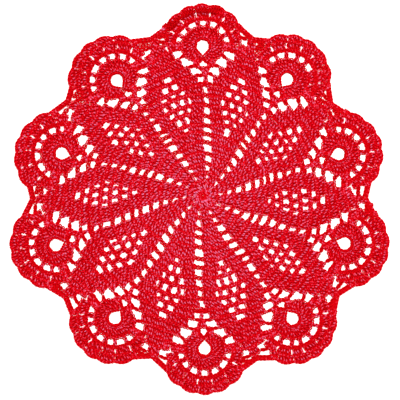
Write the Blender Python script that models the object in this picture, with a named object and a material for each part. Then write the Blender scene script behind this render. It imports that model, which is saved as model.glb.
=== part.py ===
"""Crocheted lace doily, lying flat.

A round cotton doily, worked in one piece from the middle out: ten leaves of close stitches, each with a
diamond of small gaps, parted by ten ladders of gaps, and ten scalloped fans round the edge.

Metres, +Z up. The underside lies on z = 0 and the origin is below the middle of the bounding box.
Angles run clockwise from +Y, seen from above.
"""

import math
from collections import namedtuple

import bmesh
import bpy

MM = 0.001

# Driving sizes, in millimetres and degrees
THICKNESS = 2.0
MIDDLE = (2.8, 2.4)            # where the first round lies, from the middle of the bounding box
MEAN_DISTANCE = 118.8          # of the ten fans from the first round
LAST_RUNG = 83.6               # from here out, the rounds keep their distance from the fans
LADDER_SLOPE = 12.0            # each gap of a ladder slopes down clockwise
LEAF_LAG = 1.4                 # a leaf's diamond drifts this much less than the ladders beside it
SHELL_LIFT = 1.2               # how far each shell of the edging stands out between its two dips
SHELL_STEPS = 4                # points along each shell
WELD = 0.01

COTTON_RED = (0.68, 0.004, 0.018, 1.0)
COTTON_ROUGHNESS = 0.85

# One row a fan, from the top clockwise: how far out its centre lies and at what angle, how far its scallop
# reaches from there, how far the scallop sways clockwise, and how far out the valley after it lies
Fan = namedtuple("Fan", "distance angle reach sway valley")
FANS = (
    Fan(119.2, -0.1, 34.8, 0.0, 133.0),
    Fan(114.6, 35.9, 35.6, -0.5, 127.8),
    Fan(113.4, 73.0, 35.0, 0.5, 131.8),
    Fan(119.5, 108.7, 35.6, 0.7, 135.4),
    Fan(121.7, 144.0, 35.9, 1.0, 139.0),
    Fan(122.4, 179.4, 36.4, 0.5, 136.6),
    Fan(120.6, 215.7, 36.6, 0.0, 138.6),
    Fan(124.1, 251.4, 36.3, 0.6, 138.2),
    Fan(117.7, 286.6, 37.1, -2.2, 133.8),
    Fan(114.9, 323.2, 37.1, -2.0, 133.6),
)

# One row a round: the gap of each ladder there, and how far it has drifted clockwise of the fan it leads to
Rung = namedtuple("Rung", "radius drift width height")
LADDER = (
    Rung(29.0, 7.6, 5.6, 3.6),
    Rung(37.2, 6.4, 6.8, 4.0),
    Rung(45.6, 4.4, 6.8, 3.4),
    Rung(52.6, 3.5, 6.4, 3.4),
    Rung(59.2, 3.1, 5.4, 4.0),
    Rung(67.0, 2.8, 4.4, 4.8),
    Rung(75.8, 2.0, 3.6, 4.8),
    Rung(LAST_RUNG, 1.2, 3.2, 5.8),
)

# One row a gap, in the fan's own frame: clockwise across it and outwards, from its centre
Gap = namedtuple("Gap", "across out width height turn")
FAN_GAPS = (
    Gap(22.0, -7.2, 8.0, 6.0, -25),
    Gap(15.2, -13.2, 9.0, 7.8, -20),
    Gap(9.2, -20.0, 7.6, 7.4, -30),
    Gap(5.6, -28.0, 3.8, 7.2, 20),
    Gap(-20.0, -6.4, 8.6, 6.2, 10),
    Gap(-12.2, -12.8, 10.0, 6.4, 10),
    Gap(-6.2, -19.4, 8.2, 6.2, 5),
    Gap(-2.2, -27.2, 5.2, 5.0, 0),
    Gap(1.0, -14.2, 4.6, 7.4, 10),
    Gap(31.2, 2.6, 9.0, 4.4, -5),
    Gap(-30.4, 4.4, 10.0, 4.0, 5),
)

# The ring of small gaps round a fan's eye
RING_RADIUS = 19.4
RING_ANGLES = (-73, -47, -22, 3, 28, 51, 73)
RING_GAP = (5.2, 4.4)

# The teardrop at a fan's centre, point inwards
EYE_RADIUS = 4.8
EYE_OUT = 0.6
EYE_POINT = -6.8
EYE_ARC = range(-120, 121, 30)

# The three largest gaps of each leaf's diamond: the round's radius, and the share of the way across the leaf
LeafGap = namedtuple("LeafGap", "radius share")
LEAF_GAPS = (
    LeafGap(53.2, 0.50),
    LeafGap(69.0, 0.50),
    LeafGap(84.6, 0.48),
)
LEAF_GAP = (4.2, 3.8)

# A scallop's edge, as the dips between its five shells: angle from the fan's outward line, and how far short
# of its reach
Dip = namedtuple("Dip", "angle shortfall")
DIPS = (
    Dip(-59.0, 0.6),
    Dip(-35.0, 1.0),
    Dip(-12.0, 0.8),
    Dip(9.0, 0.8),
    Dip(33.0, 1.2),
    Dip(57.0, 1.0),
)

# Corners of a gap, as shares of its width and height
SIX_CORNERS = ((0.5, 0.0), (0.25, 0.5), (-0.25, 0.5), (-0.5, 0.0), (-0.25, -0.5), (0.25, -0.5))
EIGHT_CORNERS = (
    (0.5, 0.2), (0.22, 0.5), (-0.22, 0.5), (-0.5, 0.2),
    (-0.5, -0.2), (-0.22, -0.5), (0.22, -0.5), (0.5, -0.2),
)


def clear_scene():
    for item in list(bpy.data.objects):
        bpy.data.objects.remove(item, do_unlink=True)


def stepped(origin, angle, across, out):
    """A point given in a frame whose outward line lies at a clockwise angle."""
    turn = math.radians(angle)
    x = origin[0] + across * math.cos(turn) + out * math.sin(turn)
    y = origin[1] - across * math.sin(turn) + out * math.cos(turn)
    return (x, y)


def polar(radius, angle):
    """A point at a distance and a clockwise angle from the first round."""
    return stepped(MIDDLE, angle, 0.0, radius)


def fan_point(fan, across, out):
    """A point in a fan's own frame, from its centre."""
    return stepped(polar(fan.distance, fan.angle), fan.angle, across, out)


def fan_polar(fan, radius, angle):
    """A point at a distance and a clockwise angle from a fan's centre."""
    turn = math.radians(angle)
    return fan_point(fan, radius * math.sin(turn), radius * math.cos(turn))


def next_fan(index):
    """The fan clockwise of this one, with its angle counted on past a full turn."""
    if index + 1 < len(FANS):
        return FANS[index + 1]
    return FANS[0]._replace(angle=FANS[0].angle + 360.0)


def between(first, second, share):
    return first + share * (second - first)


def pulled(radius, distance):
    """A round's radius on the way to a fan at this distance: the outer rounds are pulled out or in with it."""
    pull = min(radius / LAST_RUNG, 1.0) ** 2
    return radius + pull * (distance - MEAN_DISTANCE)


def drift_at(radius):
    """How far the ladders have drifted clockwise at a radius, read between their rungs."""
    if radius >= LADDER[-1].radius:
        return LADDER[-1].drift
    for inner, outer in zip(LADDER, LADDER[1:]):
        if radius <= outer.radius:
            return between(inner.drift, outer.drift, (radius - inner.radius) / (outer.radius - inner.radius))


def gap_outline(corners, centre, angle, width, height):
    return [stepped(centre, angle, across * width, out * height) for across, out in corners]


def scallop_point(fan, radius, angle):
    """A point on a scallop's edge, moved across by the fan's sway."""
    turn = math.radians(angle)
    return fan_point(fan, fan.sway + radius * math.sin(turn), radius * math.cos(turn))


def edge_outline():
    """The scalloped edge, fan by fan: five shells, then the valley to the next fan."""
    points = []
    for index, fan in enumerate(FANS):
        for dip, following in zip(DIPS, DIPS[1:]):
            for step in range(SHELL_STEPS):
                share = step / SHELL_STEPS
                angle = between(dip.angle, following.angle, share)
                shortfall = between(dip.shortfall, following.shortfall, share)
                lift = SHELL_LIFT * math.sin(math.pi * share)
                points.append(scallop_point(fan, fan.reach - shortfall + lift, angle))
        points.append(scallop_point(fan, fan.reach - DIPS[-1].shortfall, DIPS[-1].angle))
        points.append(polar(fan.valley, between(fan.angle, next_fan(index).angle, 0.5)))
    return points


def eye_outline(fan):
    """The teardrop at a fan's centre: most of a circle, drawn in to a point."""
    points = [fan_point(fan, 0.0, EYE_POINT)]
    for angle in EYE_ARC:
        turn = math.radians(angle)
        points.append(fan_point(fan, EYE_RADIUS * math.sin(turn), EYE_OUT + EYE_RADIUS * math.cos(turn)))
    return points


def fan_outlines(fan):
    """The gaps of one fan: its eye, the ring round it, and the rows of gaps that part it from its leaves."""
    outlines = [eye_outline(fan)]
    for angle in RING_ANGLES:
        centre = fan_polar(fan, RING_RADIUS, angle)
        outlines.append(gap_outline(SIX_CORNERS, centre, fan.angle + angle, *RING_GAP))
    for gap in FAN_GAPS:
        centre = fan_point(fan, gap.across, gap.out)
        outlines.append(gap_outline(EIGHT_CORNERS, centre, fan.angle - gap.turn, gap.width, gap.height))
    return outlines


def ladder_outlines(fan):
    """The ladder that leads from the middle of the doily to a fan, a gap a round."""
    outlines = []
    for rung in LADDER:
        angle = fan.angle + rung.drift
        centre = polar(pulled(rung.radius, fan.distance), angle)
        outlines.append(gap_outline(SIX_CORNERS, centre, angle + LADDER_SLOPE, rung.width, rung.height))
    return outlines


def leaf_outlines(fan, following):
    """The largest gaps of the diamond in the leaf between two ladders."""
    outlines = []
    for gap in LEAF_GAPS:
        angle = between(fan.angle, following.angle, gap.share) + drift_at(gap.radius) - LEAF_LAG
        distance = between(fan.distance, following.distance, gap.share)
        centre = polar(pulled(gap.radius, distance), angle)
        outlines.append(gap_outline(SIX_CORNERS, centre, angle, *LEAF_GAP))
    return outlines


def all_outlines():
    """The edge first, then every gap."""
    outlines = [edge_outline()]
    for index, fan in enumerate(FANS):
        outlines += fan_outlines(fan)
        outlines += ladder_outlines(fan)
        outlines += leaf_outlines(fan, next_fan(index))
    return outlines


def cotton():
    material = bpy.data.materials.new("red_cotton")
    material.use_nodes = True
    shader = material.node_tree.nodes["Principled BSDF"]
    shader.inputs["Base Color"].default_value = COTTON_RED
    shader.inputs["Roughness"].default_value = COTTON_ROUGHNESS
    shader.inputs["Metallic"].default_value = 0.0
    return material


def drawn_outlines(name, outlines, collection):
    """A flat filled curve, as thick as the doily, standing on z = 0."""
    curve = bpy.data.curves.new(name, "CURVE")
    curve.dimensions = "2D"
    curve.fill_mode = "BOTH"
    curve.extrude = THICKNESS / 2 * MM
    for outline in outlines:
        spline = curve.splines.new("POLY")
        spline.points.add(len(outline) - 1)
        for point, (x, y) in zip(spline.points, outline):
            point.co = (x * MM, y * MM, 0.0, 1.0)
        spline.use_cyclic_u = True
    drawn = bpy.data.objects.new(name, curve)
    drawn.location.z = THICKNESS / 2 * MM
    collection.objects.link(drawn)
    bpy.context.view_layer.update()
    return drawn


def plate_from(drawn, name, collection):
    """The curve as one closed mesh, its two faces welded to its walls."""
    evaluated = drawn.evaluated_get(bpy.context.evaluated_depsgraph_get())
    mesh = bpy.data.meshes.new_from_object(evaluated)
    cage = bmesh.new()
    cage.from_mesh(mesh)
    bmesh.ops.remove_doubles(cage, verts=cage.verts, dist=WELD * MM)
    bmesh.ops.recalc_face_normals(cage, faces=cage.faces)
    cage.to_mesh(mesh)
    cage.free()
    plate = bpy.data.objects.new(name, mesh)
    plate.matrix_world = drawn.matrix_world
    collection.objects.link(plate)
    bpy.data.objects.remove(drawn, do_unlink=True)
    return plate


def main():
    clear_scene()
    collection = bpy.data.collections.new("lace_doily")
    bpy.context.scene.collection.children.link(collection)
    drawn = drawn_outlines("doily_outline", all_outlines(), collection)
    doily = plate_from(drawn, "doily", collection)
    doily.data.materials.clear()
    doily.data.materials.append(cotton())


main()
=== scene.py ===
"""The looks of the crocheted doily: every stitch as twisted cotton thread, laid out by given charts.

The doily is worked in the round. Each repeat has a leaf of close stitches, a ladder of gaps on each side
of it, and a fan round a teardrop eye. Charts and sizes below are in millimetres and degrees, in the
frame's own axes; angles run clockwise from +Y, seen from above. Points become metres when a mesh is made.
"""

import math
from collections import namedtuple

import bpy
import numpy as np
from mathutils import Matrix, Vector

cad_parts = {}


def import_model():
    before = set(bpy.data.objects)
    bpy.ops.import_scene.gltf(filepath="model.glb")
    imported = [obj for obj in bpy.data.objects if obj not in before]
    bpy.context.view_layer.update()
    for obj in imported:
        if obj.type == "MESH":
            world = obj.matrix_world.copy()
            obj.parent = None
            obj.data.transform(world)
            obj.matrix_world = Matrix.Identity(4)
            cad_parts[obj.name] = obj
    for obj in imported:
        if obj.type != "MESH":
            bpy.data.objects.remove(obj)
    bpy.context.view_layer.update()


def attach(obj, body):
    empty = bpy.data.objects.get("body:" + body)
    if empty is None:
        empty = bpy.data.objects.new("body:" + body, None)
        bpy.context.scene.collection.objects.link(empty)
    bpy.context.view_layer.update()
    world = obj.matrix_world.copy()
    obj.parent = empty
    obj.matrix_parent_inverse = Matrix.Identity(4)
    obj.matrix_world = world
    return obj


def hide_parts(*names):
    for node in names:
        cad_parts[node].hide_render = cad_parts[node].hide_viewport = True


MM = 0.001
SEED = 20
UP = np.array((0.0, 0.0, 1.0))

# The layout: the middle, the fans and the dips of their edges lie as in the part's source
MIDDLE = (2.8, 2.4)            # where the first round lies, from the middle of the frame
MEAN_DISTANCE = 118.8          # of the ten fans from the first round
LAST_RUNG = 83.6               # from here out, the rounds keep their distance from the fans

Fan = namedtuple("Fan", "distance angle reach sway valley")
FANS = (
    Fan(119.2, -0.1, 34.8, 0.0, 133.0),
    Fan(114.6, 35.9, 35.6, -0.5, 127.8),
    Fan(113.4, 73.0, 35.0, 0.5, 131.8),
    Fan(119.5, 108.7, 35.6, 0.7, 135.4),
    Fan(121.7, 144.0, 35.9, 1.0, 139.0),
    Fan(122.4, 179.4, 36.4, 0.5, 136.6),
    Fan(120.6, 215.7, 36.6, 0.0, 138.6),
    Fan(124.1, 251.4, 36.3, 0.6, 138.2),
    Fan(117.7, 286.6, 37.1, -2.2, 133.8),
    Fan(114.9, 323.2, 37.1, -2.0, 133.6),
)

Dip = namedtuple("Dip", "angle shortfall")
DIPS = (
    Dip(-59.0, 0.6),
    Dip(-35.0, 1.0),
    Dip(-12.0, 0.8),
    Dip(9.0, 0.8),
    Dip(33.0, 1.2),
    Dip(57.0, 1.0),
)
SHELL_LIFT = 1.6               # how far each shell of the edging stands out between its two dips

# One row a round of the close work, from the middle out: the radius of its outer edge beside a ladder and
# at the middle of a leaf, how far it has drifted clockwise of the fan, the width of its ladder gap, and the
# gaps of the leaf's diamond that lie in it, each by its width in stitches
Round = namedtuple("Round", "beside middle drift gap diamond")
ROUNDS = (
    Round(10.8, 10.8, 13.0, 0.1, ()),
    Round(18.0, 18.0, 11.5, 1.4, ()),
    Round(25.3, 25.6, 8.2, 3.4, ()),
    Round(33.1, 33.8, 7.3, 5.0, ()),
    Round(41.4, 42.2, 5.4, 6.3, ()),
    Round(49.1, 50.6, 3.5, 6.7, ()),
    Round(55.9, 58.0, 2.9, 7.5, (1.6,)),
    Round(63.1, 65.4, 2.6, 6.0, (1.5, 1.15)),
    Round(71.4, 73.0, 2.5, 4.7, (1.45, 1.65, 0.9)),
    Round(79.7, 80.6, 1.8, 3.0, (1.25, 1.55, 1.45, 0.8)),
    Round(87.6, 87.8, 1.3, 2.9, (1.9, 1.6, 1.5)),
)

START_RADIUS = 2.6             # where the first round's stitches start,
START_DRIFT = 16.0             # and how far they have drifted there
DRAWN_SHARE = 0.42             # a ladder's gap at a row's foot is at most this share of it to each side
LADDER_SLOPE = 0.5             # how far a ladder's gaps slope down clockwise,
SLOPE_FROM = 30.0              # in full from this radius out

# One row a round beyond the ladders, where the leaf narrows between two fans. Ends are in the fan's frame,
# in chart squares: clockwise of the fan, then anticlockwise of it, at the row's foot and at its top
SQUARE = 0.8
Row = namedtuple("Row", "foot_after top_after foot_before top_before middle diamond")
TIP_ROWS = (
    Row((8.7, -38.4), (9.4, -29.0), (-3.4, -38.4), (-5.8, -29.0), 94.6, (2.3, 2.05)),
    Row((15.6, -29.2), (15.8, -20.4), (-10.2, -28.8), (-14.0, -20.2), 101.8, (2.9,)),
    Row((22.9, -21.2), (23.3, -12.0), (-19.2, -20.4), (-22.6, -11.8), 109.4, ()),
    Row((30.6, -12.8), (31.4, -6.0), (-27.8, -11.4), (-30.8, -4.4), 117.0, ()),
    Row((37.0, -8.5), (38.4, -1.0), (-35.0, -5.5), (-38.0, 1.0), 124.6, ()),
    Row((43.6, -3.0), (44.6, 6.6), (-43.2, -0.5), (-44.6, 7.8), 131.4, ()),
)

# Free chains between a fan and its two leaves, each a line of points in chart squares
CHAINS = (
    ((9.0, -37.4), (5.4, -37.0), (2.4, -36.6), (-1.0, -37.0), (-3.6, -37.4)),
    ((9.4, -29.0), (6.6, -28.2), (3.0, -27.4), (-2.0, -28.2), (-5.8, -29.0)),
    ((15.8, -20.4), (11.8, -19.4), (8.2, -17.8), (4.4, -15.2), (0.3, -11.5)),
    ((-14.0, -20.2), (-10.4, -19.6), (-6.8, -17.8), (-3.4, -15.0), (-0.3, -11.5)),
    ((3.5, -25.0), (6.0, -21.2), (6.2, -17.2)),
    ((1.5, -25.0), (-3.0, -21.4), (-4.8, -17.6)),
    ((23.3, -12.0), (21.2, -9.8), (19.0, -7.4)),
    ((-22.6, -11.8), (-20.4, -10.0), (-18.0, -8.8)),
    ((31.4, -6.0), (27.0, -3.6), (21.0, -2.6)),
    ((-30.8, -4.4), (-25.0, -2.8), (-20.0, -2.8)),
    ((44.6, 6.6), (40.0, 8.8), (33.0, 9.6)),
    ((-44.6, 7.8), (-40.4, 9.4), (-35.0, 10.2)),
    ((-46.4, 12.6), (-42.0, 13.4), (-37.0, 13.6)),
)

# Free chains of one fan alone, where its valley is worked close, by the fan's place in the list
CLOSE_CHAINS = {
    0: (((-45.2, 4.4), (-41.8, 4.6), (-38.4, 4.8)),),
    1: (((-45.0, 6.2), (-42.0, 6.0), (-38.8, 6.0)), ((34.6, 1.2), (40.0, 2.2), (45.8, 3.6))),
    2: (((-44.2, 4.0), (-41.0, 4.2), (-37.8, 4.4)),),
    9: (((-44.4, 6.0), (-41.2, 6.0), (-38.0, 6.0)), ((47.0, 10.6), (43.0, 12.0), (38.4, 13.2))),
}

# Small blocks of stitches in a fan, in chart squares: foot from, foot to, top from, top to, stitches
Block = namedtuple("Block", "foot_from foot_to top_from top_to count")
BLOCKS = (
    Block((1.0, -38.2), (4.0, -38.2), (1.0, -28.8), (4.2, -28.8), 2),
    Block((0.4, -28.6), (4.6, -28.6), (-3.4, -21.2), (7.4, -21.2), 4),
    Block((5.2, -21.0), (11.0, -19.2), (6.2, -14.2), (13.0, -14.6), 3),
    Block((-9.2, -19.8), (-3.8, -21.0), (-10.0, -14.4), (-4.6, -13.8), 3),
    Block((21.0, -3.0), (36.4, -6.2), (19.5, 4.0), (33.0, 1.4), 6),
    Block((34.0, -6.2), (39.0, -7.0), (35.0, 0.4), (42.0, 0.4), 3),
    Block((-34.8, -3.8), (-20.0, -2.8), (-37.8, 2.6), (-19.5, 4.2), 6),
    Block((31.7, 20.6), (36.2, 11.4), (35.4, 22.6), (39.6, 18.0), 3),
    Block((-36.8, 12.6), (-32.2, 20.2), (-40.6, 18.6), (-36.0, 22.6), 3),
)

# The fan's own rounds, by distance from the eye's centre
EYE_RADIUS = 5.0
EYE_OUT = 0.6                  # its round part's centre,
EYE_POINT = -7.0               # and its point, on the side of the first round
EYE_ARC = range(-120, 121, 30)
RIM_BEYOND = 0.7               # the twisted rim of the eye, beyond its edge
RIM_RISE = 0.2
RIM_SPREAD = 0.40
RIM_TURNS = 9
RIM_STEPS = 44
RIM_THREAD = 0.54
LINE_BEYOND = 2.3              # the thin thread round the rim, set high so that it shows as a pale painted highlight line
LINE_RISE = 1.05
LINE_THREAD = 0.28
RING_FOOT = 6.2
RING_TOP = 16.4
RING_SPAN = 168.0
RING_FEET = ((0.0, 115.0, 150.0, 168.0), (RING_FOOT, RING_FOOT, 7.0, 8.0))
RING_TOPS = ((0.0, 115.0, 130.0, 145.0, 168.0), (RING_TOP, RING_TOP, 15.2, 13.6, 11.2))
RING_COUNT = 33
SPACE_TOP = 23.2
SPACE_EDGES = (-92.0, -63.3, -37.8, -11.9, 13.3, 37.8, 61.6, 85.0)
SPACE_HALF = 5.8               # half the width of the stitches between two spaces, in degrees,
SPACE_GROWTH = 60.0            # a degree more this many degrees on
SPACE_CHAIN_END = 90.0
SPACE_CHAIN_POINTS = 46
CLOSE_SPACES = {1: (49.7, 73.3)}        # spaces of one fan alone, filled by more stitches
GROUP_TOP = 30.2
GROUP_COUNT = 5
GROUP_FOOT = 0.92              # a group's feet are drawn together to this share of their width
SHELL_COUNT = 6
EDGE_INSET = 1.0               # how far inside the edge the edging chain's middle lies
BORDER_SPREAD = 0.7
BORDER_RISE = 0.15
SECOND_BORDER = 2.4            # how far inside the border a second chain crosses each valley

# How wide the free chains of each fan lie; a wide chain leaves smaller gaps
FREE_SPREAD = (1.05, 1.25, 1.25, 1.10, 0.98, 0.90, 0.98, 1.05, 1.40, 1.40)
# How wide each ladder's gaps are, and those of the leaf after it, as parts of the charted width
LADDER_WIDTH = (0.92, 0.97, 1.04, 0.99, 0.83, 1.03, 0.98, 0.70, 0.74, 0.96)
DIAMOND_WIDTH = (0.92, 0.77, 0.80, 0.76, 1.00, 0.82, 0.86, 0.74, 0.80, 0.90)

# The thread and its heights
THREAD = 0.60
FLATNESS = 0.85                # a twisted pair's height, as a share of its width
ROUNDING = 0.7                 # widens a tube of few sides, so that it covers what a round one does
TIP = 0.7                      # how much of its radius a thread keeps at its ends
SIDES = 5                      # of a thread's tube in a chain's links and in an eye's rim,
FEW_SIDES = 4                  # and everywhere else
MID_HEIGHT = 1.43              # of the stitches' middle lines,
WEB_HEIGHT = 0.83              # and of the shade web under them, a darker sheet of painted shade
CHAIN_RISE = 0.1               # how far some chains lie above the middle height
WAVE_HEIGHT = 0.08             # the low waves in which the doily lies
WAVE_START = 1.3
WAVE_LENGTHS = (17.0, 21.0, 29.0)

# A tall stitch: a pair of twisted threads, by shares of its length from its foot
STITCH = 2.2                   # its width,
STITCH_HEIGHT = 7.6            # and the common height, which has POST_STEPS steps
POST_STEPS = 12
LEAST_STEPS = 8
POST_SHARES = (0.0, 0.16, 0.34, 0.6, 0.88, 1.0)
POST_HEIGHTS = (-0.45, -0.3, 0.0, 0.05, 0.0, -0.25)
POST_WIDTHS = (0.7, 1.1, 1.0, 1.0, 0.85)
SPREAD = 0.71                  # how far its threads lie from its middle line, where its width is 1
TURN_LENGTH = 6.4              # its two threads make one turn in this length
TURN_START = 0.25              # the part of a turn by which neighbours may start apart
UNDER = 1.4                    # how far its foot reaches below its row
UNDER_CHAIN = 0.8              # and how much further where it is worked round a chain

# A gap in a row: the stitches beside it, and the chains along its foot and its top
GAP_SWING = 0.35               # how far the stitches bow sideways
LEAN = 0.5                     # how far they may lean into it, in stitches,
LEAN_ENDS = (1.0, 0.1)         # more at one end than at the other,
LEAN_SIDES = (0.2, 0.8)        # and shared out between the two
BAR_SPREAD = 1.25
BAR_REACH = 0.35               # how far the chains reach past it, in stitches
BAR_POINTS = 4
WEB_INSET = 0.32               # how far from it the web ends, in stitches,
WEB_OVERLAP = 0.1              # and how much of its height a patch reaches below its row

# A ladder
LADDER_SPREAD = 1.35
RUNG_MARGIN = 0.1              # how far beside a ladder's gap the leaves end,
RUNG_OVERLAP = 0.9             # how far its chain reaches past it,
RUNG_BOW = 0.5                 # and how far the chain bows out
LADDER_START = 1.0             # how far past the first round a ladder's first stitch ends

# The looped ridge along a row's top
RIDGE_SPREAD = 1.0
RIDGE_RISE = 0.15
RIDGE_FLATNESS = 0.65
CLOSE_POINTS = 4               # points a stitch along its line,
RIDGE_STEPS = 3                # and steps a stitch along its threads

# A chain: its links, and the thread behind them
CHAIN_LINK = 3.0
CHAIN_SPREAD = 1.15
CHAIN_THREAD = 0.69
LINK_HALF = 0.6                # the sideways measure in LINK that a chain's spread stands for
BEHIND_SWAY = 0.2              # how far the thread behind lies to each side,
BEHIND_DROP = 0.35             # how far below the links,
BEHIND_WAVE = 0.1              # and how much higher and lower in turn
START_LINK = 2.0               # the ring that the work starts from
START_RING = 2.1
START_TURN = 380.0
START_POINTS = 40

# One loop of a chain: share along the link, sideways, and height above the chain's line
LINK = (
    (-0.05, 0.14, 0.30), (0.35, 0.50, 0.34), (0.80, 0.66, 0.12), (1.12, 0.48, -0.30),
    (1.22, 0.0, -0.42),
    (1.12, -0.48, -0.30), (0.80, -0.66, 0.12), (0.35, -0.50, 0.34), (-0.05, -0.14, 0.30),
)

# How unevenly it is worked, as standard deviations
LOOSE_CHAIN = 0.3
LOOSE_SPACE = 1.3
LOOSE_LINK = 0.05
LOOSE_END = 0.16
LOOSE_SWING = 0.2
LOOSE_TURN = 0.12
LOOSE_THREAD = 0.05

# Painted light: high thread is painted paler, as highlight, and low thread darker, as shade; some kinds of
# thread get less painted highlight
CREST = 1.93                   # thread above this height gets more painted highlight, thread below it painted shade
# how much less painted highlight each of these kinds of thread gets
CHAIN_HIGHLIGHT_CUT = 0.40
RIDGE_HIGHLIGHT_CUT = 0.30
LINE_HIGHLIGHT_CUT = 0.25
BORDER_HIGHLIGHT_CUT = 0.24
RING_HIGHLIGHT_CUT = 0.06
HIGHLIGHT_REACH = 80.0            # so far from the middle, height alone sets the painted highlight,
HIGHLIGHT_FALL = 0.0012           # and each millimetre nearer to it adds this much painted highlight

# The first fan's outer edge stands a little higher, between two angles of the fan
RAISED_EDGE = 4.2
RAISED_SLOPE = (26.0, 30.4)    # from where to where it rises, by distance from the eye's centre
RAISED_ANGLES = (-66.0, -50.0, 12.0, 26.0)
FLAT_TO_RAISED = (0.0, 1.0, 1.0, 0.0)
RAISED_SHADE = 6.0             # how much painted shade darkens its slope
RAISED_PULL = 1.35             # how far its outer rows are drawn in,
PULL_SLOPE = (12.0, 24.0)      # and between which distances that begins

# Along a path: how far ahead its direction is read, and how far past its ends a place may lie
LOOK = 0.3
PAST_END = 1.0
LENGTH_POINTS = 51             # points by which a curve's length is measured,
SMOOTH_STEPS = 6               # steps between two points of a smooth curve,
EYE_STEPS = 4                  # and between two round an eye

# The sheet of unrolled tubes: the room for a tube and its two caps, in cells, and where they lie in it
SHEET_ROOM = 1.03
CAP_ROOM = 1.5
ROW_ROOM = 0.6
TUBE_START = 0.5
FIRST_CAP = 0.2
LAST_CAP = 0.8
CAP_SIZE = 0.2
RUN_OFFSET = 50.0              # each thread's pattern starts at a place of its own, up to this far along

# The cotton: its colours from dark to bright, and the parts of the pattern that chooses between them. The
# dark end is darker tone at random and painted shade on low thread, the middle is the cotton's own red, and
# the pale pink bright end is painted highlight
THREAD_COLOURS = ((0.56, 0.000, 0.002, 1.0), (0.72, 0.000, 0.007, 1.0), (0.72, 0.156, 0.308, 1.0))
# darker than the thread's, as painted shade in the gaps between stitches
SHADE_WEB_COLOURS = ((0.46, 0.000, 0.000, 1.0), (0.58, 0.001, 0.003, 1.0), (0.66, 0.010, 0.020, 1.0))
DARK_AT = 0.34
MIDDLE_AT = 0.60
BRIGHT_AT = 0.90
PATTERN_BASE = -0.14
FIBRE_SHARE = 0.9
FIBRE_SCALE = 740.0
FIBRE_DETAIL = 1.0
# a wave along each thread that paints pale highlight spots on it, one a length
HIGHLIGHT_WAVE_SHARE = 0.10
HIGHLIGHT_WAVE_LENGTH = 2.4
# the plies paint pale bands along their ridges as painted sheen, and also give them as bumps
PLY_SHARE = 0.04
PLY_LENGTH = 1.1
PLIES = 3
PAINTED_LIGHT_SHARE = 0.70
PLY_BUMP = 0.3
PLY_DEPTH = 0.00012
THREAD_ROUGHNESS = 0.5
WEB_ROUGHNESS = 0.8
SHINE = 0.03
SHINE_TINT = (0.5, 0.65, 1.0, 1.0)

# The stage, in metres and watts
WHITE = (1.0, 1.0, 1.0, 1.0)
FLOOR_SIZE = 4.0
FLOOR_COLOUR = (0.86, 0.86, 0.86, 1.0)
FLOOR_GLOW = 0.6
FLOOR_ROUGHNESS = 0.9
FLOOR_SHINE = 0.1
WORLD_LIGHT = 0.275
Light = namedtuple("Light", "name place size power")
LIGHTS = (
    Light("key_light", (0.25, 1.9, 1.9), 0.6, 47.5),
    Light("fill_light", (0.9, -0.7, 1.4), 1.2, 5.0),
    Light("top_light", (0.0, 0.0, 2.2), 1.0, 28.2),
)
CAMERA_PLACE = (0.0004, -0.0012, 3.0)
CAMERA_REACH = 20.0
SENSOR_WIDTH = 36.0
PICTURE_WIDTH = 0.32           # what the camera sees of the floor

rng = np.random.default_rng(SEED)


def uneven(deviation):
    """Small differences from round to round, for each of the repeats."""
    return deviation * rng.standard_normal((len(FANS), len(ROUNDS) + 1))


LOOSE_RUNGS = 1.0 + uneven(0.12)
LOOSE_DRIFT = uneven(0.7)
LOOSE_REACH = uneven(0.45)
LOOSE_MIDDLE = uneven(0.6)


def between(first, second, share):
    return first + share * (second - first)


def stepped(origin, angle, across, out):
    """A point given in a frame whose outward line lies at a clockwise angle."""
    turn = np.radians(angle)
    x = origin[0] + across * np.cos(turn) + out * np.sin(turn)
    y = origin[1] - across * np.sin(turn) + out * np.cos(turn)
    return np.array((x, y))


def polar(radius, angle):
    return stepped(MIDDLE, angle, 0.0, radius)


def to_polar(point):
    """The distance and clockwise angle of a point from the first round."""
    x = point[0] - MIDDLE[0]
    y = point[1] - MIDDLE[1]
    return math.hypot(x, y), math.degrees(math.atan2(x, y))


def fan_point(fan, across, out):
    return stepped(polar(fan.distance, fan.angle), fan.angle, across, out)


def drawn_in(fan, radius, angle):
    """A distance from an eye: towards the first fan's raised edge the rows lie nearer to it."""
    if fan.distance != FANS[0].distance:
        return radius
    share = np.interp(radius, PULL_SLOPE, (0.0, 1.0)) * np.interp(angle, RAISED_ANGLES, FLAT_TO_RAISED)
    return radius - RAISED_PULL * share


def fan_polar(fan, radius, angle):
    radius = drawn_in(fan, radius, angle)
    turn = np.radians(angle)
    return fan_point(fan, radius * np.sin(turn), radius * np.cos(turn))


def charted(fan, square):
    """A fan's chart point, given in squares."""
    return fan_point(fan, square[0] * SQUARE, square[1] * SQUARE)


def next_fan(index):
    if index + 1 < len(FANS):
        return FANS[index + 1]
    return FANS[0]._replace(angle=FANS[0].angle + 360.0)


def pulled(radius, distance):
    """A round's radius on the way to a fan at this distance, which pulls the outer rounds out or in."""
    pull = min(radius / LAST_RUNG, 1.0) ** 2
    return radius + pull * (distance - MEAN_DISTANCE)


def ring_angles(sides):
    """Where a tube's corners lie round it."""
    return (np.arange(sides) + 0.5) * 2 * math.pi / sides


def crossways(path):
    """The direction of a path at each of its points, and the level direction across it."""
    tangents = np.gradient(path, axis=0)
    side = np.cross(tangents, UP)
    return tangents, side / np.linalg.norm(side, axis=1)[:, None]


Tube = namedtuple("Tube", "first count sides run offset")


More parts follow.
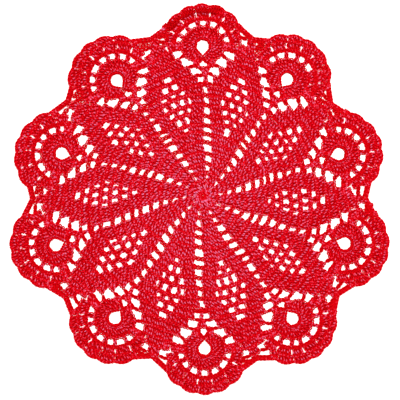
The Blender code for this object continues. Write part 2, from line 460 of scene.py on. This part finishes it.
class Yarn:
    """Collects thread as tubes, then makes them into one mesh."""

    def __init__(self):
        self.points = []
        self.tubes = []
        self.highlight_cut = []
        self.total = 0

    def tube(self, path, radius, sides, highlight_cut):
        """One thread along a path of points."""
        path = np.asarray(path, dtype=float)
        count = len(path)
        tangents, side = crossways(path)
        above = np.cross(side, tangents)
        above /= np.linalg.norm(above, axis=1)[:, None]
        radii = np.full(count, radius / math.cos(ROUNDING * math.pi / sides))
        radii[0] *= TIP
        radii[-1] *= TIP
        turn = ring_angles(sides)[None, :, None]
        ring = np.cos(turn) * side[:, None, :] + np.sin(turn) * above[:, None, :]
        points = path[:, None, :] + radii[:, None, None] * ring
        steps = np.linalg.norm(np.diff(path, axis=0), axis=1)
        run = np.concatenate(([0.0], np.cumsum(steps)))
        self.points.append(points.reshape(-1, 3))
        self.tubes.append(Tube(self.total, count, sides, run, rng.random() * RUN_OFFSET))
        self.highlight_cut.append(np.full(count * sides, highlight_cut))
        self.total += count * sides

    def twisted(self, path, spread, turns, phase, steps, radius=THREAD, sides=SIDES, flatness=FLATNESS,
                highlight_cut=0.0):
        """Two threads wound round each other along a path. spread may be a row of values along it."""
        path = resampled(path, steps)
        side = crossways(path)[1]
        share = np.linspace(0.0, 1.0, steps + 1)
        spread = np.atleast_1d(spread)
        width = np.interp(share, np.linspace(0.0, 1.0, len(spread)), spread)
        for half in (0.0, math.pi):
            angle = phase + half + 2 * math.pi * turns * share
            across = width * np.cos(angle)
            height = flatness * width * np.sin(angle)
            self.tube(path + across[:, None] * side + height[:, None] * UP, radius, sides, highlight_cut)

    def chain(self, path, link=CHAIN_LINK, spread=CHAIN_SPREAD, highlight_cut=CHAIN_HIGHLIGHT_CUT):
        """A crocheted chain: each link a loop whose neck lies on the loop before, over one thread behind."""
        path = np.asarray(path, dtype=float)
        length = np.linalg.norm(np.diff(path, axis=0), axis=1).sum()
        count = max(1, round(length / link))
        step = length / count
        walk = Walk(path)
        for index in range(count):
            start = index * step
            loop = []
            for along, across, height in LINK:
                place, side = walk.at(start + along * step)
                wobble = 1.0 + LOOSE_LINK * rng.standard_normal()
                loop.append(place + side * across * spread / LINK_HALF * wobble + UP * height)
            self.tube(loop, CHAIN_THREAD, SIDES, highlight_cut)
        behind = []
        for index in range(2 * count + 1):
            place, side = walk.at(index * step / 2)
            turn = (-1) ** index
            behind.append(place + side * BEHIND_SWAY * turn - UP * (BEHIND_DROP + BEHIND_WAVE * turn))
        self.tube(behind, CHAIN_THREAD, FEW_SIDES, highlight_cut)

    def build(self, name, material):
        """One mesh of all the tubes, with its two UV maps and the painted light of each point."""
        shelf = Shelf(sum((tube.count + 1) * (tube.sides + 1) for tube in self.tubes))
        skins = []
        for tube in self.tubes:
            left, low = shelf.place(tube.count + CAP_ROOM, tube.sides + ROW_ROOM)
            skins.append(tube_wall(tube, left, low))
            skins.append(tube_end(tube, 0, 1, left + FIRST_CAP, low))
            skins.append(tube_end(tube, tube.count - 1, -1, left + tube.count + LAST_CAP, low))
        corners, sizes, yarn_uv, bake_uv = [np.concatenate(parts) for parts in zip(*skins)]
        points = np.concatenate(self.points)
        mesh = bpy.data.meshes.new(name)
        mesh.vertices.add(len(points))
        mesh.vertices.foreach_set("co", (points * MM).ravel())
        mesh.loops.add(len(corners))
        mesh.loops.foreach_set("vertex_index", corners.astype(np.int32))
        mesh.polygons.add(len(sizes))
        mesh.polygons.foreach_set("loop_start", (np.cumsum(sizes) - sizes).astype(np.int32))
        mesh.update(calc_edges=True)
        mesh.shade_smooth()
        # the painted light of each point: painted highlight where the thread lies high, painted shade where
        # it lies low
        painted_light = mesh.attributes.new("painted_light", "FLOAT", "POINT")
        painted_light.data.foreach_set("value", painted_light_level(points, np.concatenate(self.highlight_cut)))
        yarn = mesh.uv_layers.new(name="yarn")
        yarn.data.foreach_set("uv", yarn_uv.ravel())
        bake = mesh.uv_layers.new(name="OFBake")
        bake.data.foreach_set("uv", (bake_uv / shelf.size()).ravel())
        mesh.validate()
        return placed(mesh, material)


def tube_wall(tube, left, low):
    """The faces along a tube, as their corners, how many each has, and where they lie on the two UV maps."""
    step, side = np.meshgrid(np.arange(tube.count - 1), np.arange(tube.sides), indexing="ij")
    step, side = step.ravel(), side.ravel()
    near = tube.first + step * tube.sides
    far = near + tube.sides
    after = (side + 1) % tube.sides
    corners = np.stack((near + side, far + side, far + after, near + after), axis=1)
    along = np.stack((step, step + 1, step + 1, step), axis=1)
    around = np.stack((side, side, side + 1, side + 1), axis=1)
    u = around / tube.sides
    v = tube.run[along] + tube.offset
    x = left + TUBE_START + along
    y = low + around
    sizes = np.full(len(corners), corners.shape[1])
    yarn_uv = np.stack((u.ravel(), v.ravel()), axis=1)
    bake_uv = np.stack((x.ravel(), y.ravel()), axis=1)
    return corners.ravel(), sizes, yarn_uv, bake_uv


def tube_end(tube, ring, order, spot, low):
    """The face that closes a tube at one of its rings, given as its walls are. order turns it outwards."""
    corners = tube.first + ring * tube.sides + np.arange(tube.sides)
    turn = ring_angles(tube.sides)
    u = turn / (2 * math.pi)
    v = np.full(tube.sides, tube.run[ring] + tube.offset)
    outline = np.stack((np.cos(turn), np.sin(turn)), axis=1)
    middle = np.array((spot, low + 0.5 * tube.sides))
    yarn_uv = np.stack((u, v), axis=1)
    bake_uv = middle + CAP_SIZE * outline * np.array((1.0, order))
    return corners[::order], [tube.sides], yarn_uv[::order], bake_uv[::order]


def placed(mesh, material):
    """The mesh as a piece of the scene, named as the mesh is."""
    mesh.materials.append(material)
    piece = bpy.data.objects.new(mesh.name, mesh)
    bpy.context.scene.collection.objects.link(piece)
    return piece


class Shelf:
    """Gives each tube's unrolled skin a place of its own on one square sheet."""

    def __init__(self, cells):
        self.width = SHEET_ROOM * math.sqrt(cells)
        self.left = 0.0
        self.low = 0.0
        self.high = 0.0

    def place(self, width, height):
        if self.left + width > self.width:
            self.left = 0.0
            self.low = self.high
        spot = (self.left, self.low)
        self.left += width
        self.high = max(self.high, self.low + height)
        return spot

    def size(self):
        return max(self.width, self.high)


class Walk:
    """Places along a path, by distance, with the sideways direction there."""

    def __init__(self, path):
        self.path = np.asarray(path, dtype=float)
        steps = np.linalg.norm(np.diff(self.path, axis=0), axis=1)
        self.run = np.concatenate(([0.0], np.cumsum(steps)))

    def spot(self, distance):
        return np.array([np.interp(distance, self.run, self.path[:, axis]) for axis in range(3)])

    def at(self, distance):
        """A place and its sideways direction, also a little before the path's start or past its end."""
        reach = self.run[-1]
        distance = min(max(distance, -PAST_END), reach + PAST_END)
        near = self.spot(min(max(distance - LOOK, 0.0), reach - 2 * LOOK))
        far = self.spot(max(min(distance + LOOK, reach), 2 * LOOK))
        along = (far - near) / np.linalg.norm(far - near)
        inside = min(max(distance, 0.0), reach)
        side = np.cross(along, UP)
        return self.spot(inside) + along * (distance - inside), side / np.linalg.norm(side)


def resampled(path, steps):
    """The same path in even steps."""
    walk = Walk(path)
    return np.array([walk.spot(distance) for distance in np.linspace(0.0, walk.run[-1], steps + 1)])


def smooth(points, steps=SMOOTH_STEPS):
    """A smooth curve through a few flat points."""
    points = [np.asarray(point, dtype=float) for point in points]
    ends = [2 * points[0] - points[1]] + points + [2 * points[-1] - points[-2]]
    curve = []
    for a, b, c, d in zip(ends, ends[1:], ends[2:], ends[3:]):
        for step in range(steps):
            t = step / steps
            curve.append(0.5 * (2 * b + (c - a) * t + (2 * a - 5 * b + 4 * c - d) * t ** 2
                                + (3 * b - a - 3 * c + d) * t ** 3))
    curve.append(points[-1])
    return np.array(curve)


def edge_share(x, y):
    """How far up the first fan's raised edge a place lies, from 0 on the flat to 1 on its top."""
    eye = fan_point(FANS[0], 0.0, 0.0)
    angle = np.degrees(np.arctan2(x - eye[0], y - eye[1]))
    share = np.interp(np.hypot(x - eye[0], y - eye[1]), RAISED_SLOPE, (0.0, 1.0))
    return share * np.interp(angle, RAISED_ANGLES, FLAT_TO_RAISED)


def lift(x, y):
    """The low waves in which the doily lies, and the first fan's raised edge."""
    first, second, third = WAVE_LENGTHS
    waves = np.sin(x / first + WAVE_START) * np.cos(y / second) + np.sin((x + y) / third)
    share = edge_share(x, y)
    return WAVE_HEIGHT * (2.0 + waves) + RAISED_EDGE * share * share * (3.0 - 2.0 * share)


def painted_light_level(points, highlight_cut):
    """How much painted highlight thread shows: more on high threads and near the middle, less on the kinds
    with a highlight cut; low thread gets painted shade.

    The slope up to the raised edge, turned from the light, gets painted shade as well and shows hardly any
    highlight.
    """
    x, y, z = points.T
    # more painted highlight nearer the middle, less further out
    fall = HIGHLIGHT_FALL * (HIGHLIGHT_REACH - np.hypot(x, y))
    share = edge_share(x, y)
    # painted shade on the slope up to the raised edge
    slope = RAISED_SHADE * share * (1.0 - share)
    return (z - lift(x, y) - CREST - highlight_cut + fall - slope).astype(np.float32)


def raised(flat, height):
    """Flat points set at a height on the doily's waves."""
    flat = np.asarray(flat, dtype=float)
    heights = np.broadcast_to(np.asarray(height, dtype=float), (len(flat),))
    return np.column_stack((flat, heights + lift(*flat.T)))


class ShadeWeb:
    """A darker sheet behind the stitches, a patch a stitch, filling the small gaps between them as painted
    shade.
    """

    def __init__(self):
        self.points = []
        self.faces = []

    def patch(self, foot_left, foot_right, top_left, top_right):
        base = len(self.points)
        for x, y in (foot_left, foot_right, top_right, top_left):
            self.points.append((x, y, WEB_HEIGHT + lift(x, y)))
        self.faces.append((base, base + 1, base + 2, base + 3))

    def build(self, name, material):
        mesh = bpy.data.meshes.new(name)
        points = [(x * MM, y * MM, z * MM) for x, y, z in self.points]
        mesh.from_pydata(points, [], self.faces)
        mesh.shade_smooth()
        return placed(mesh, material)


def post(yarn, foot, top, under=UNDER, swing=0.0, highlight_cut=0.0):
    """One tall stitch: a twisted pair of threads from inside the row below to the row's top."""
    foot = np.asarray(foot) + LOOSE_END * rng.standard_normal(2)
    top = np.asarray(top) + LOOSE_END * rng.standard_normal(2)
    rise = top - foot
    length = np.linalg.norm(rise)
    start = foot - rise / length * under
    shares = np.array(POST_SHARES)
    bow = (swing + LOOSE_SWING * rng.standard_normal()) * np.array((rise[1], -rise[0])) / length
    flat = start[None, :] + shares[:, None] * (top - start)[None, :]
    flat = flat + np.sin(np.pi * shares)[:, None] * bow[None, :]
    path = raised(flat, MID_HEIGHT + np.array(POST_HEIGHTS))
    phase = TURN_START * rng.uniform(0.0, 2.0 * math.pi)
    turns = length / TURN_LENGTH * (1 + LOOSE_TURN * rng.standard_normal())
    radius = THREAD * (1 + LOOSE_THREAD * rng.standard_normal())
    steps = max(LEAST_STEPS, round(POST_STEPS * length / STITCH_HEIGHT))
    yarn.twisted(path, np.array(POST_WIDTHS) * SPREAD, turns, phase, radius=radius, steps=steps,
                 sides=FEW_SIDES, highlight_cut=highlight_cut)


def row(yarn, shade_patches, foot, top, cells, cap=True, below=(), highlight_cut=0.0):
    """A row of stitches between two curves by share. A cell of width 1 is a stitch, any other a gap.

    below has the shares between which the row under this one has gaps. Gives back such shares for this row.
    """
    edges = np.concatenate(([0.0], np.cumsum(cells)))
    total = edges[-1]
    shift = np.zeros((len(cells), 2))
    swings = np.zeros(len(cells))
    swings[0] = GAP_SWING
    swings[-1] = GAP_SWING
    gaps = []
    for index, width in enumerate(cells):
        if width == 1:
            continue
        gaps.append((edges[index] / total, edges[index + 1] / total))
        lean = rng.uniform(0.0, LEAN) * np.roll(LEAN_ENDS, rng.integers(2))
        side = rng.uniform(*LEAN_SIDES)
        swings[max(index - 1, 0):index + 2] = GAP_SWING * (1.0 + rng.standard_normal())
        if index > 0:
            shift[index - 1] += lean * side
        if index + 1 < len(cells):
            shift[index + 1] -= lean * (1 - side)
    for index, width in enumerate(cells):
        if width != 1:
            continue
        middle = edges[index] + 0.5
        foot_share = (middle + shift[index, 0]) / total
        over = any(first < foot_share < last for first, last in below)
        post(yarn, foot(foot_share), top((middle + shift[index, 1]) / total), UNDER + UNDER_CHAIN * over,
             swings[index], highlight_cut)
        left, right = edges[index], edges[index + 1]
        if index == 0 or cells[index - 1] != 1:
            left += WEB_INSET
        if index == len(cells) - 1 or cells[index + 1] != 1:
            right -= WEB_INSET
        left, right = left / total, right / total
        corners = [between(foot(side), top(side), -WEB_OVERLAP) for side in (left, right)]
        shade_patches.patch(*corners, top(left), top(right))
    for index, width in enumerate(cells):
        if width == 1:
            continue
        shares = np.linspace(edges[index] - BAR_REACH, edges[index + 1] + BAR_REACH, BAR_POINTS) / total
        for curve in (foot, top):
            yarn.chain(raised([curve(share) for share in shares], MID_HEIGHT), spread=BAR_SPREAD)
    if cap:
        count = round(total)
        ridge(yarn, [top(share) for share in np.linspace(0.0, 1.0, CLOSE_POINTS * count + 1)], count)
    return gaps


def ridge(yarn, flat, count):
    """The looped edge along a row's top: a pair of threads that cross once a stitch."""
    path = raised(flat, MID_HEIGHT + RIDGE_RISE)
    yarn.twisted(path, RIDGE_SPREAD, count / 2, rng.uniform(0, math.pi), steps=RIDGE_STEPS * count,
                 sides=FEW_SIDES, flatness=RIDGE_FLATNESS, highlight_cut=RIDGE_HIGHLIGHT_CUT)


def row_cells(count, diamond):
    """The cells of a leaf's row: side stitches, and between them the diamond's gaps, two stitches apart."""
    if not diamond:
        return [1] * count
    pattern = [diamond[0]]
    for wide in diamond[1:]:
        pattern += [1, 1, wide]
    side = max(1, round((count - sum(pattern)) / 2))
    return [1] * side + pattern + [1] * side


def arc(first, last, middle):
    """A curve between two polar points, by share, that passes the middle at its own radius."""
    bulge = middle - between(first[0], last[0], 0.5)

    def at(share):
        radius = between(first[0], last[0], share) + bulge * np.sin(np.pi * share)
        return polar(radius, between(first[1], last[1], share))

    return at


def ladder_end(fan, radius, drift, half):
    """The end of a round beside a ladder, in polar form. half is positive clockwise of the ladder."""
    slope = -LADDER_SLOPE if half > 0 else LADDER_SLOPE
    distance = pulled(radius, fan.distance) + slope * min(radius / SLOPE_FROM, 1.0)
    return distance, fan.angle + drift + math.degrees(half / radius)


def rung(index, step, share=0.5, margin=RUNG_MARGIN):
    """The ends of a ladder's gap at one round's outer edge: before the gap, and after it, in polar form."""
    index = index % len(FANS)
    entry = ROUNDS[step]
    drift = entry.drift + LOOSE_DRIFT[index, step]
    half = share * entry.gap * LADDER_WIDTH[index] * LOOSE_RUNGS[index, step] + margin
    beside = entry.beside + LOOSE_REACH[index, step]
    return [ladder_end(FANS[index], beside, drift, side * half) for side in (-1, 1)]


def ladder_foot(fan):
    """Where the first round starts below a ladder, in polar form."""
    return START_RADIUS, fan.angle + START_DRIFT


def turned(end, base):
    """The same polar point with its angle near another angle."""
    radius, angle = end
    return radius, base + (angle - base + 180.0) % 360.0 - 180.0


def leaf_rows(index):
    """Every row of one leaf, as foot curve, top curve, and its entry."""
    fan, following = FANS[index], next_fan(index)
    mean = between(fan.distance, following.distance, 0.5)
    base = between(fan.angle, following.angle, 0.5)
    rows = []
    inner_middle = START_RADIUS
    for step, entry in enumerate(ROUNDS):
        if step == 0:
            feet = (ladder_foot(fan), ladder_foot(following))
        else:
            share = min(DRAWN_SHARE * entry.gap / ROUNDS[step - 1].gap, DRAWN_SHARE)
            feet = (rung(index, step - 1, share)[1], rung(index + 1, step - 1, share)[0])
        tops = (rung(index, step)[1], rung(index + 1, step)[0])
        foot = arc(turned(feet[0], base), turned(feet[1], base), pulled(inner_middle, mean))
        middle = entry.middle + LOOSE_MIDDLE[index, step]
        top = arc(turned(tops[0], base), turned(tops[1], base), pulled(middle, mean))
        rows.append((foot, top, entry))
        inner_middle = middle
    for entry in TIP_ROWS:
        ends = [to_polar(charted(fan, entry.foot_after)), to_polar(charted(following, entry.foot_before)),
                to_polar(charted(fan, entry.top_after)), to_polar(charted(following, entry.top_before))]
        ends = [turned(end, base) for end in ends]
        foot = arc(ends[0], ends[1], pulled(inner_middle, mean))
        top = arc(ends[2], ends[3], pulled(entry.middle, mean))
        rows.append((foot, top, entry))
        inner_middle = entry.middle
    return rows


def curve_length(curve):
    """The length of a curve given by share."""
    points = np.array([curve(share) for share in np.linspace(0.0, 1.0, LENGTH_POINTS)])
    return np.linalg.norm(np.diff(points, axis=0), axis=1).sum()


def work_leaf(yarn, shade_patches, index):
    """One leaf, round by round, with the gaps of its diamond."""
    gaps = ()
    for foot, top, entry in leaf_rows(index):
        count = max(2, round((curve_length(foot) + curve_length(top)) / 2 / STITCH))
        cells = row_cells(count, [DIAMOND_WIDTH[index] * gap for gap in entry.diamond])
        gaps = row(yarn, shade_patches, foot, top, cells, below=gaps)


def work_ladder(yarn, index):
    """The stitch that starts a ladder, and the short chains that close its gaps from leaf to leaf."""
    fan = FANS[index]
    inner = rung(index, 0)
    radius = between(inner[0][0], inner[1][0], 0.5) + LADDER_START
    post(yarn, polar(*ladder_foot(fan)), polar(radius, between(inner[0][1], inner[1][1], 0.5)))
    for step in range(1, len(ROUNDS)):
        before, after = [turned(end, fan.angle) for end in rung(index, step, margin=RUNG_OVERLAP)]
        middle = (between(before[0], after[0], 0.5) + RUNG_BOW, between(before[1], after[1], 0.5))
        flat = smooth([polar(*before), polar(*middle), polar(*after)])
        yarn.chain(raised(flat, MID_HEIGHT + CHAIN_RISE), spread=LADDER_SPREAD)


def sector(fan, inner, outer, first, last, foot_share=1.0):
    """Foot and top curves of a group of stitches round a fan's eye, its feet drawn together."""
    middle = between(first, last, 0.5)

    def foot(share):
        return fan_polar(fan, inner, between(middle, between(first, last, share), foot_share))

    def top(share):
        return fan_polar(fan, outer, between(first, last, share))

    return foot, top


def rim_points(fan, beyond):
    """A line round the eye, a teardrop with its point inwards, so far beyond the eye's edge."""
    radius = EYE_RADIUS + beyond
    point = fan_point(fan, 0.0, EYE_POINT - beyond)
    arc_points = [
        fan_point(fan, radius * math.sin(turn), EYE_OUT + radius * math.cos(turn))
        for turn in map(math.radians, EYE_ARC)
    ]
    return smooth([point] + arc_points + [point], EYE_STEPS)


def edge_point(fan, angle):
    """A point a little inside the scallop's edge, where the edging chain's middle lies."""
    for dip, following in zip(DIPS, DIPS[1:]):
        if dip.angle <= angle <= following.angle:
            share = (angle - dip.angle) / (following.angle - dip.angle)
            short = between(dip.shortfall, following.shortfall, share)
            radius = fan.reach - short + SHELL_LIFT * math.sin(math.pi * share) - EDGE_INSET
            radius = drawn_in(fan, radius, angle)
            turn = math.radians(angle)
            return fan_point(fan, fan.sway + radius * math.sin(turn), radius * math.cos(turn))


def work_rim(yarn, fan):
    """The twisted rim of the eye, and the thin thread round it, set high to show a pale painted highlight
    line.
    """
    rim = raised(rim_points(fan, RIM_BEYOND), MID_HEIGHT + RIM_RISE)
    yarn.twisted(rim, RIM_SPREAD, RIM_TURNS, 0.0, radius=RIM_THREAD, steps=RIM_STEPS,
                 highlight_cut=RIDGE_HIGHLIGHT_CUT)
    line = raised(rim_points(fan, LINE_BEYOND), MID_HEIGHT + LINE_RISE)
    yarn.tube(line, LINE_THREAD, FEW_SIDES, LINE_HIGHLIGHT_CUT)


def work_chains(yarn, index):
    """The free chains between a fan and its leaves."""
    for line in CHAINS + CLOSE_CHAINS.get(index, ()):
        flat = [charted(FANS[index], square) + LOOSE_CHAIN * rng.standard_normal(2) for square in line]
        yarn.chain(raised(smooth(flat), MID_HEIGHT), spread=FREE_SPREAD[index])


def straight(first, last):
    """A straight line between two points, by share."""
    return lambda share: between(first, last, share)


def work_blocks(yarn, shade_patches, fan):
    """The small blocks of stitches between a fan and its leaves."""
    for block in BLOCKS:
        ends = [charted(fan, square) for square in block[:4]]
        row(yarn, shade_patches, straight(*ends[:2]), straight(*ends[2:]), [1] * block.count)


def ring_line(fan, radii):
    """A curve round nearly the whole eye, by share, whose radius goes by its angle from the fan's middle."""

    def at(share):
        angle = RING_SPAN * (2.0 * share - 1.0)
        return fan_polar(fan, np.interp(abs(angle), *radii), angle)

    return at


def work_rounds(yarn, shade_patches, index):
    """The fan's rounds: the ring round its eye, the pairs of stitches between spaces, and close groups."""
    fan = FANS[index]
    row(yarn, shade_patches, ring_line(fan, RING_FEET), ring_line(fan, RING_TOPS), [1] * RING_COUNT,
        highlight_cut=RING_HIGHLIGHT_CUT)
    edges = np.array(SPACE_EDGES) + LOOSE_SPACE * rng.standard_normal(len(SPACE_EDGES))
    for angle in (*edges, *CLOSE_SPACES.get(index, ())):
        half = SPACE_HALF + angle / SPACE_GROWTH
        foot, top = sector(fan, RING_TOP, SPACE_TOP, angle - half, angle + half)
        row(yarn, shade_patches, foot, top, [1, 1], cap=False)
    angles = np.linspace(edges[0], SPACE_CHAIN_END, SPACE_CHAIN_POINTS)
    flat = [fan_polar(fan, SPACE_TOP, angle) for angle in angles]
    yarn.chain(raised(flat, MID_HEIGHT + CHAIN_RISE))
    for first, last in zip(edges, edges[1:]):
        foot, top = sector(fan, SPACE_TOP, GROUP_TOP, first, last, GROUP_FOOT)
        row(yarn, shade_patches, foot, top, [1] * GROUP_COUNT)


def work_shells(yarn, shade_patches, fan):
    """The shells of the scallop's edge, one between each two dips."""
    for dip, following in zip(DIPS, DIPS[1:]):
        angle_at = straight(dip.angle, following.angle)

        def foot(share, angle_at=angle_at):
            return fan_polar(fan, GROUP_TOP, angle_at(share))

        def top(share, angle_at=angle_at):
            return edge_point(fan, angle_at(share))

        row(yarn, shade_patches, foot, top, [1] * SHELL_COUNT, cap=False)


def work_border(yarn, index):
    """The chain along the scallop's edge and across the valley after it, and a second in the valley."""
    fan, mate = FANS[index], next_fan(index)
    border = []
    for dip, following in zip(DIPS, DIPS[1:]):
        angles = np.linspace(dip.angle, following.angle, SHELL_COUNT + 1)[:-1]
        border += [edge_point(fan, angle) for angle in angles]
    near = edge_point(fan, DIPS[-1].angle)
    valley = polar(fan.valley - EDGE_INSET, between(fan.angle, mate.angle, 0.5))
    far = edge_point(mate, DIPS[0].angle)
    across = [near, between(near, valley, 0.5), valley, between(valley, far, 0.5), far]
    line = raised(border + across, MID_HEIGHT + BORDER_RISE)
    yarn.chain(line, spread=BORDER_SPREAD, highlight_cut=BORDER_HIGHLIGHT_CUT)
    inside = [polar(radius - SECOND_BORDER, angle) for radius, angle in map(to_polar, across)]
    yarn.chain(raised(inside, MID_HEIGHT), spread=BORDER_SPREAD)


def work_fan(yarn, shade_patches, index):
    """One fan: its eye, the free chains and small blocks round it, and its own rounds out to the edge."""
    fan = FANS[index]
    work_rim(yarn, fan)
    work_chains(yarn, index)
    work_blocks(yarn, shade_patches, fan)
    work_rounds(yarn, shade_patches, index)
    work_shells(yarn, shade_patches, fan)
    work_border(yarn, index)


def ring_start(yarn):
    """The small ring of chain in the very middle."""
    flat = [polar(START_RING, angle) for angle in np.linspace(0.0, START_TURN, START_POINTS)]
    yarn.chain(raised(flat, MID_HEIGHT), link=START_LINK)


def wave_along(tree, split, strands, period):
    """A wave that winds round the thread in strands, one turn in a period of its length."""
    around = tree.nodes.new("ShaderNodeMath")
    around.operation = "MULTIPLY"
    around.inputs[1].default_value = strands * 2 * math.pi
    tree.links.new(split.outputs["X"], around.inputs[0])
    run = tree.nodes.new("ShaderNodeMath")
    run.operation = "MULTIPLY_ADD"
    run.inputs[1].default_value = 2 * math.pi / period
    tree.links.new(split.outputs["Y"], run.inputs[0])
    tree.links.new(around.outputs[0], run.inputs[2])
    wave = tree.nodes.new("ShaderNodeMath")
    wave.operation = "SINE"
    tree.links.new(run.outputs[0], wave.inputs[0])
    return wave.outputs[0]


def mixed(tree, parts, base):
    """The sum of a base and some node outputs, each by its share."""
    total = None
    for source, share in parts:
        added = tree.nodes.new("ShaderNodeMath")
        added.operation = "MULTIPLY_ADD"
        added.inputs[1].default_value = share
        added.inputs[2].default_value = base
        tree.links.new(source, added.inputs[0])
        if total is not None:
            tree.links.new(total, added.inputs[2])
        total = added.outputs[0]
    return total


def cotton(name, colours, roughness):
    """Twisted cotton with painted light: pale painted highlight and painted shade by the thread's height and
    place, pale painted highlight spots and bands along the thread, random fibre tone, and the fine ridges of
    its plies as bumps.

    A mesh without the thread's map and values, such as the shade web, shows the fibres alone.
    """
    material = bpy.data.materials.new(name)
    material.use_nodes = True
    tree = material.node_tree
    shader = tree.nodes["Principled BSDF"]
    uv = tree.nodes.new("ShaderNodeUVMap")
    uv.uv_map = "yarn"
    split = tree.nodes.new("ShaderNodeSeparateXYZ")
    tree.links.new(uv.outputs["UV"], split.inputs[0])
    coordinates = tree.nodes.new("ShaderNodeTexCoord")
    fibres = tree.nodes.new("ShaderNodeTexNoise")
    fibres.inputs["Scale"].default_value = FIBRE_SCALE
    fibres.inputs["Detail"].default_value = FIBRE_DETAIL
    tree.links.new(coordinates.outputs["Object"], fibres.inputs["Vector"])
    painted_light = tree.nodes.new("ShaderNodeAttribute")
    painted_light.attribute_name = "painted_light"
    # pale painted sheen bands along the plies, also used as their bumps
    plies = wave_along(tree, split, PLIES, PLY_LENGTH)
    # pale painted highlight spots along each thread
    highlight_wave = wave_along(tree, split, 1, HIGHLIGHT_WAVE_LENGTH)
    parts = (
        (fibres.outputs["Fac"], FIBRE_SHARE),
        (highlight_wave, HIGHLIGHT_WAVE_SHARE),
        (plies, PLY_SHARE),
        (painted_light.outputs["Fac"], PAINTED_LIGHT_SHARE),
    )
    # the ramp paints shade at its dark end and highlight at its pale pink bright end
    ramp = tree.nodes.new("ShaderNodeValToRGB")
    dark, middle, bright = colours
    ramp.color_ramp.elements[0].position = DARK_AT
    ramp.color_ramp.elements[0].color = dark
    ramp.color_ramp.elements[1].position = MIDDLE_AT
    ramp.color_ramp.elements[1].color = middle
    ramp.color_ramp.elements.new(BRIGHT_AT).color = bright
    tree.links.new(mixed(tree, parts, PATTERN_BASE), ramp.inputs["Fac"])
    tree.links.new(ramp.outputs["Color"], shader.inputs["Base Color"])
    bump = tree.nodes.new("ShaderNodeBump")
    bump.inputs["Strength"].default_value = PLY_BUMP
    bump.inputs["Distance"].default_value = PLY_DEPTH
    tree.links.new(plies, bump.inputs["Height"])
    tree.links.new(bump.outputs["Normal"], shader.inputs["Normal"])
    shader.inputs["Roughness"].default_value = roughness
    shader.inputs["Specular IOR Level"].default_value = SHINE
    shader.inputs["Specular Tint"].default_value = SHINE_TINT
    return material


def plain(name, colour, glow):
    """A matt material that glows a little, for the floor."""
    material = bpy.data.materials.new(name)
    material.use_nodes = True
    shader = material.node_tree.nodes["Principled BSDF"]
    shader.inputs["Base Color"].default_value = colour
    shader.inputs["Roughness"].default_value = FLOOR_ROUGHNESS
    shader.inputs["Specular IOR Level"].default_value = FLOOR_SHINE
    shader.inputs["Emission Color"].default_value = WHITE
    shader.inputs["Emission Strength"].default_value = glow
    return material


def stage():
    """The pale floor, the soft lights and the camera straight above."""
    bpy.ops.mesh.primitive_plane_add(size=FLOOR_SIZE, location=(0.0, 0.0, 0.0))
    floor = bpy.context.object
    floor.name = "floor"
    floor.data.materials.append(plain("pale_floor", FLOOR_COLOUR, FLOOR_GLOW))
    for light in LIGHTS:
        data = bpy.data.lights.new(light.name, "AREA")
        data.shape = "DISK"
        data.size = light.size
        data.energy = light.power
        lamp = bpy.data.objects.new(light.name, data)
        lamp.location = light.place
        lamp.rotation_euler = (-Vector(light.place)).to_track_quat("-Z", "Y").to_euler()
        bpy.context.scene.collection.objects.link(lamp)
    world = bpy.data.worlds.new("studio")
    world.use_nodes = True
    world.node_tree.nodes["Background"].inputs["Color"].default_value = WHITE
    world.node_tree.nodes["Background"].inputs["Strength"].default_value = WORLD_LIGHT
    bpy.context.scene.world = world
    camera_data = bpy.data.cameras.new("camera")
    camera = bpy.data.objects.new("camera", camera_data)
    camera.location = CAMERA_PLACE
    camera_data.sensor_width = SENSOR_WIDTH
    camera_data.lens = SENSOR_WIDTH * CAMERA_PLACE[2] / PICTURE_WIDTH
    camera_data.clip_end = CAMERA_REACH
    bpy.context.scene.collection.objects.link(camera)
    bpy.context.scene.camera = camera
    bpy.context.scene.view_settings.view_transform = "Standard"


def main():
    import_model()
    red = cotton("red_cotton_thread", THREAD_COLOURS, THREAD_ROUGHNESS)
    # the web's darker red is painted shade for the gaps between stitches
    shade_red = cotton("red_painted_shade_web", SHADE_WEB_COLOURS, WEB_ROUGHNESS)
    shade_patches = ShadeWeb()
    pieces = []
    for index in range(len(FANS)):
        yarn = Yarn()
        work_leaf(yarn, shade_patches, index)
        work_ladder(yarn, index)
        work_fan(yarn, shade_patches, index)
        if index == 0:
            ring_start(yarn)
        pieces.append(yarn.build("stitches_%d" % index, red))
    web = shade_patches.build("shade_web", shade_red)
    for piece in pieces + [web]:
        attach(piece, "root")
        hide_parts("doily")
    stage()


main()
